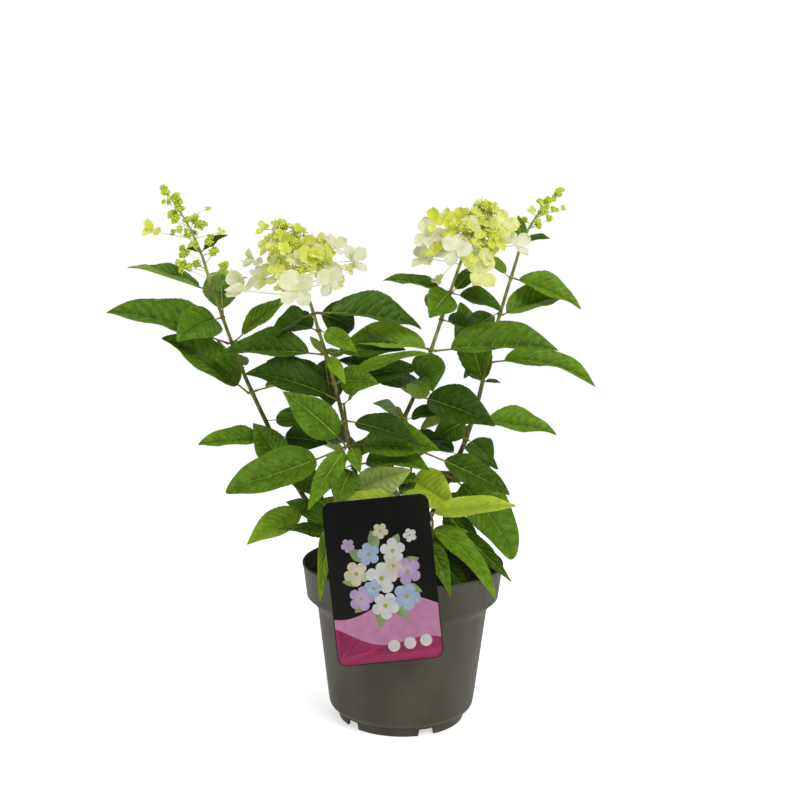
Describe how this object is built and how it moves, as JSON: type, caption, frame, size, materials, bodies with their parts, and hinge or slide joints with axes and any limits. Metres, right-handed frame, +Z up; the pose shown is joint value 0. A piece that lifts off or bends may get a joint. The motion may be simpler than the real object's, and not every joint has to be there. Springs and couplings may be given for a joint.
{
  "type": "potted hydrangea shrub",
  "caption": "Young panicle hydrangea shrub in a round nursery pot, with leafy canes, cone-shaped flower heads and a picture label on the rim.",
  "frame": {"origin": "middle of the pot's flat underside, on the pad that stands level with the foot ring", "axes": "+Z up along the pot's axis; the picture label faces -Y and +X is to the right of someone who faces the label"},
  "size_m": [0.465, 0.2328, 0.5033],
  "materials": {
    "pot": "matte",
    "compost": "rough",
    "label": "satin",
    "bark": "rough",
    "leaf": "satin",
    "blossom": "matte"
  },
  "bodies": {
    "root": {"pot": "pot", "root_ball": "compost", "plant_label": "label", "root_crown": "bark", "cane_left": "bark", "cane_front": "bark", "cane_middle": "bark", "cane_right": "bark", "leaves_left_1": "leaf", "leaves_left_2": "leaf", "leaves_left_3": "leaf", "leaves_left_4": "leaf", "leaves_left_5": "leaf", "leaves_left_6": "leaf", "leaves_left_7": "leaf", "leaves_left_8": "leaf", "leaves_front_1": "leaf", "leaves_front_2": "leaf", "leaves_front_3": "leaf", "leaves_front_4": "leaf", "leaves_front_5": "leaf", "leaves_front_6": "leaf", "leaves_front_7": "leaf", "leaves_front_8": "leaf", "leaves_middle_1": "leaf", "leaves_middle_2": "leaf", "leaves_middle_3": "leaf", "leaves_middle_4": "leaf", "leaves_middle_5": "leaf", "leaves_middle_6": "leaf", "leaves_middle_7": "leaf", "leaves_middle_8": "leaf", "leaves_right_1": "leaf", "leaves_right_2": "leaf", "leaves_right_3": "leaf", "leaves_right_4": "leaf", "leaves_right_5": "leaf", "leaves_right_6": "leaf", "leaves_right_7": "leaf", "leaves_right_8": "leaf", "flower_head_left": "blossom", "flower_head_front": "blossom", "flower_head_middle": "blossom", "flower_head_right": "blossom", "shoot_low_right": "leaf", "shoot_low_front": "leaf", "shoot_low_left": "leaf", "shoot_back_left": "leaf", "shoot_back_right": "leaf"}
  },
  "joints": []
}
